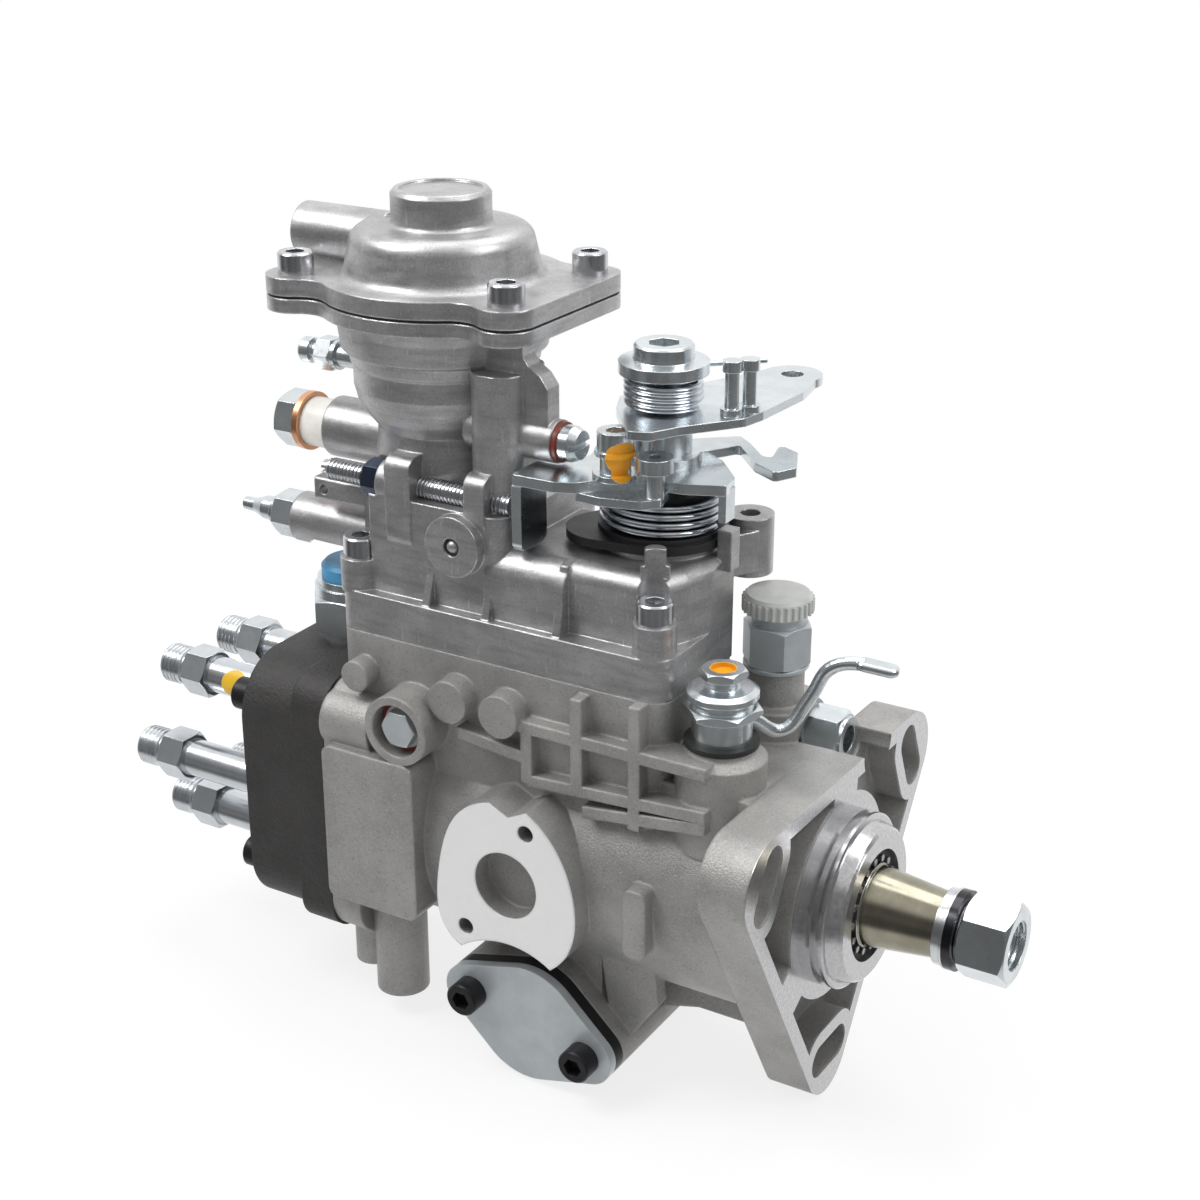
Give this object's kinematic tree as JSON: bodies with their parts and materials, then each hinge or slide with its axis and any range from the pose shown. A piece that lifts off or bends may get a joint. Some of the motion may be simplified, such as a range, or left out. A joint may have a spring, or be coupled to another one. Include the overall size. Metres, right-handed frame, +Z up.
{
  "type": "diesel injection pump",
  "caption": "Rotary distributor diesel injection pump with slotted triangular flange, taper drive shaft, delivery unions, throttle levers and boost compensator.",
  "frame": {"origin": "where the drive shaft axis meets the front face of the mounting flange", "axes": "+X along the shaft towards the drive end, +Z up towards the boost compensator, -Y towards the side with the machined pad"},
  "size_m": [0.2812, 0.1186, 0.2472],
  "materials": {
    "cast_body": "sand-cast, fine grain",
    "die_cast": "die-cast, satin",
    "black_steel": "blackened steel",
    "zinc_steel": "bright zinc",
    "screw_steel": "bright steel",
    "shaft_steel": "ground steel",
    "copper": "copper, bright",
    "bronze": "sintered bronze",
    "nylon": "natural nylon",
    "blue_plastic": "moulded",
    "grey_plastic": "moulded",
    "black_plastic": "moulded",
    "rubber": "moulded"
  },
  "bodies": {
    "pump": {"pump_housing": "cast_body", "distributor_head": "black_steel", "delivery_valve_holders": "zinc_steel", "head_plug": "black_steel", "head_screws": "screw_steel", "governor_cover": "die_cast", "cover_screws": "screw_steel", "timing_spacers": "black_steel", "timing_covers": "zinc_steel", "timing_cover_screws": "black_steel", "boost_diaphragm": "rubber", "boost_cover": "die_cast", "boost_screws": "screw_steel", "boost_nipple": "zinc_steel", "pivot_bolt": "zinc_steel", "copper_washer": "copper", "nylon_sleeve": "nylon", "slotted_plug": "zinc_steel", "full_load_screw": "zinc_steel", "stop_screw": "zinc_steel", "stop_screw_nut": "zinc_steel", "stop_solenoid": "zinc_steel", "solenoid_cap": "blue_plastic", "overflow_valve": "zinc_steel", "overflow_cap": "grey_plastic", "inlet_union": "zinc_steel", "inlet_bolt": "zinc_steel", "inlet_pipe": "zinc_steel", "outlet_union": "zinc_steel", "inspection_bolt": "zinc_steel", "seal_rings": "rubber", "spring_cup": "black_plastic", "shaft_bush": "bronze", "shaft_seal": "rubber", "feed_pump_ring": "shaft_steel", "governor_shaft": "shaft_steel"},
    "shaft": {"drive_shaft": "shaft_steel", "shaft_washers": "zinc_steel", "shaft_nut": "zinc_steel", "feed_pump_rotor": "shaft_steel"},
    "plunger": {"distributor_plunger": "shaft_steel"},
    "rollers": {"roller_ring": "shaft_steel"},
    "timing_piston_body": {"timing_piston": "cast_body"},
    "cage": {"governor_cage": "shaft_steel"},
    "weight_1": {"flyweight_1": "shaft_steel"},
    "weight_2": {"flyweight_2": "shaft_steel"},
    "weight_3": {"flyweight_3": "shaft_steel"},
    "weight_4": {"flyweight_4": "shaft_steel"},
    "sleeve": {"governor_sleeve": "shaft_steel"},
    "lever": {"governor_lever": "zinc_steel"},
    "collar": {"control_collar": "shaft_steel"},
    "boost": {"boost_pin": "screw_steel"},
    "throttle": {"throttle_shaft": "zinc_steel", "stop_lever": "zinc_steel", "lever_screw": "zinc_steel", "return_spring": "screw_steel", "lever_spring": "screw_steel", "lever_cap": "zinc_steel"},
    "upper": {"upper_lever": "zinc_steel", "lever_pins": "zinc_steel"}
  },
  "joints": [
    {"name": "shaft_spin", "type": "hinge", "parent": "pump", "child": "shaft", "pos_m": [0, 0, 0], "axis": [1, 0, 0], "continuous": true},
    {"name": "governor_spin", "type": "hinge", "parent": "pump", "child": "cage", "pos_m": [-0.05, 0, 0.042], "axis": [1, 0, 0], "continuous": true},
    {"name": "plunger_stroke", "type": "slide", "parent": "shaft", "child": "plunger", "axis": [1, 0, 0], "range_m": [0, 0.0022]},
    {"name": "sleeve_slide", "type": "slide", "parent": "pump", "child": "sleeve", "axis": [-1, 0, 0], "range_m": [0, 0.0015], "stiffness_N_per_m": 3000, "springref_m": -0.001},
    {"name": "lever_swing", "type": "hinge", "parent": "pump", "child": "lever", "pos_m": [-0.11, 0, 0.025], "axis": [0, -1, 0], "range_deg": [0, 5.1]},
    {"name": "collar_slide", "type": "slide", "parent": "pump", "child": "collar", "axis": [1, 0, 0], "range_m": [0, 0.0015]},
    {"name": "timing_slide", "type": "slide", "parent": "pump", "child": "timing_piston_body", "axis": [0, 1, 0], "range_m": [0, 0.005], "stiffness_N_per_m": 8000, "springref_m": -0.002},
    {"name": "ring_turn", "type": "hinge", "parent": "pump", "child": "rollers", "pos_m": [-0.075, 0, 0], "axis": [1, 0, 0], "range_deg": [0, 6.4]},
    {"name": "boost_slide", "type": "slide", "parent": "pump", "child": "boost", "axis": [0, 0, -1], "range_m": [0, 0.0035], "stiffness_N_per_m": 2000, "springref_m": -0.003},
    {"name": "throttle_turn", "type": "hinge", "parent": "pump", "child": "throttle", "pos_m": [-0.06, 0.005, 0.1], "axis": [0, 0, 1], "range_deg": [0, 40], "stiffness_Nm_per_rad": 1, "springref_deg": -34.38},
    {"name": "upper_lever_turn", "type": "hinge", "parent": "throttle", "child": "upper", "pos_m": [-0.06, 0.005, 0.13], "axis": [0, 0, 1], "range_deg": [0, 12], "stiffness_Nm_per_rad": 1.5, "springref_deg": -22.92},
    {"name": "weight_1_swing", "type": "hinge", "parent": "cage", "child": "weight_1", "pos_m": [-0.0635, 0, 0.0545], "axis": [0, 1, 0], "range_deg": [0, 12]},
    {"name": "weight_2_swing", "type": "hinge", "parent": "cage", "child": "weight_2", "pos_m": [-0.0635, -0.0125, 0.042], "axis": [0, 0, 1], "range_deg": [0, 12]},
    {"name": "weight_3_swing", "type": "hinge", "parent": "cage", "child": "weight_3", "pos_m": [-0.0635, 0, 0.0295], "axis": [0, -1, 0], "range_deg": [0, 12]},
    {"name": "weight_4_swing", "type": "hinge", "parent": "cage", "child": "weight_4", "pos_m": [-0.0635, 0.0125, 0.042], "axis": [0, 0, -1], "range_deg": [0, 12]}
  ],
  "couplings": [
    {"joint": "governor_spin", "follows": "shaft_spin", "ratio": -1.4706},
    {"joint": "lever_swing", "follows": "sleeve_slide", "rad_per_m": 58.8},
    {"joint": "collar_slide", "follows": "sleeve_slide", "ratio": 1},
    {"joint": "ring_turn", "follows": "timing_slide", "rad_per_m": 22.2},
    {"joint": "weight_1_swing", "follows": "sleeve_slide", "rad_per_m": 139},
    {"joint": "weight_2_swing", "follows": "sleeve_slide", "rad_per_m": 139},
    {"joint": "weight_3_swing", "follows": "sleeve_slide", "rad_per_m": 139},
    {"joint": "weight_4_swing", "follows": "sleeve_slide", "rad_per_m": 139}
  ]
}
